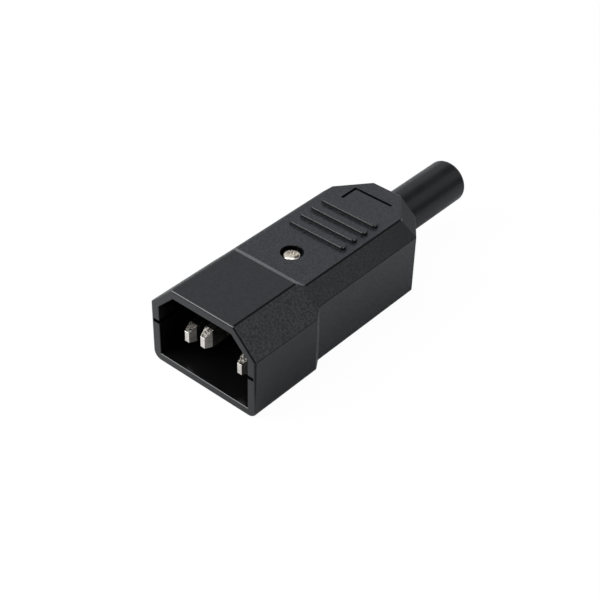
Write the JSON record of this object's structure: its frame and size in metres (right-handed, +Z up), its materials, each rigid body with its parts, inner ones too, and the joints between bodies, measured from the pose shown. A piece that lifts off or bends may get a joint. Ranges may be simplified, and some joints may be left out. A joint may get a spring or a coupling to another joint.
{
  "type": "iec power plug",
  "caption": "Rewirable mains power plug with flat pins in a keyed shroud, a black screwed clamshell housing with grip ribs, and a rubber strain relief boot at the cord exit.",
  "frame": {"origin": "centre of the bounding box's base, below the middle of the length", "axes": "+Y along the plug from the pin side to the cord exit, +X to the right seen from the pin side, +Z up with the keyed corners above"},
  "size_m": [0.0274, 0.0792, 0.0198],
  "materials": {
    "housing_plastic": "fine moulded satin",
    "carrier_plastic": "matt moulded",
    "pin_metal": "bright nickel plate",
    "screw_steel": "bright nickel plate",
    "boot_rubber": "matt"
  },
  "bodies": {
    "root": {"upper_shell": "housing_plastic", "lower_shell": "housing_plastic", "pin_carrier": "carrier_plastic", "line_pin": "pin_metal", "neutral_pin": "pin_metal", "earth_pin": "pin_metal", "line_terminal_screw": "screw_steel", "neutral_terminal_screw": "screw_steel", "earth_terminal_screw": "screw_steel", "housing_screw": "screw_steel", "cord_clamp": "carrier_plastic", "clamp_screw_left": "screw_steel", "clamp_screw_right": "screw_steel", "strain_relief_boot": "boot_rubber"}
  },
  "joints": []
}
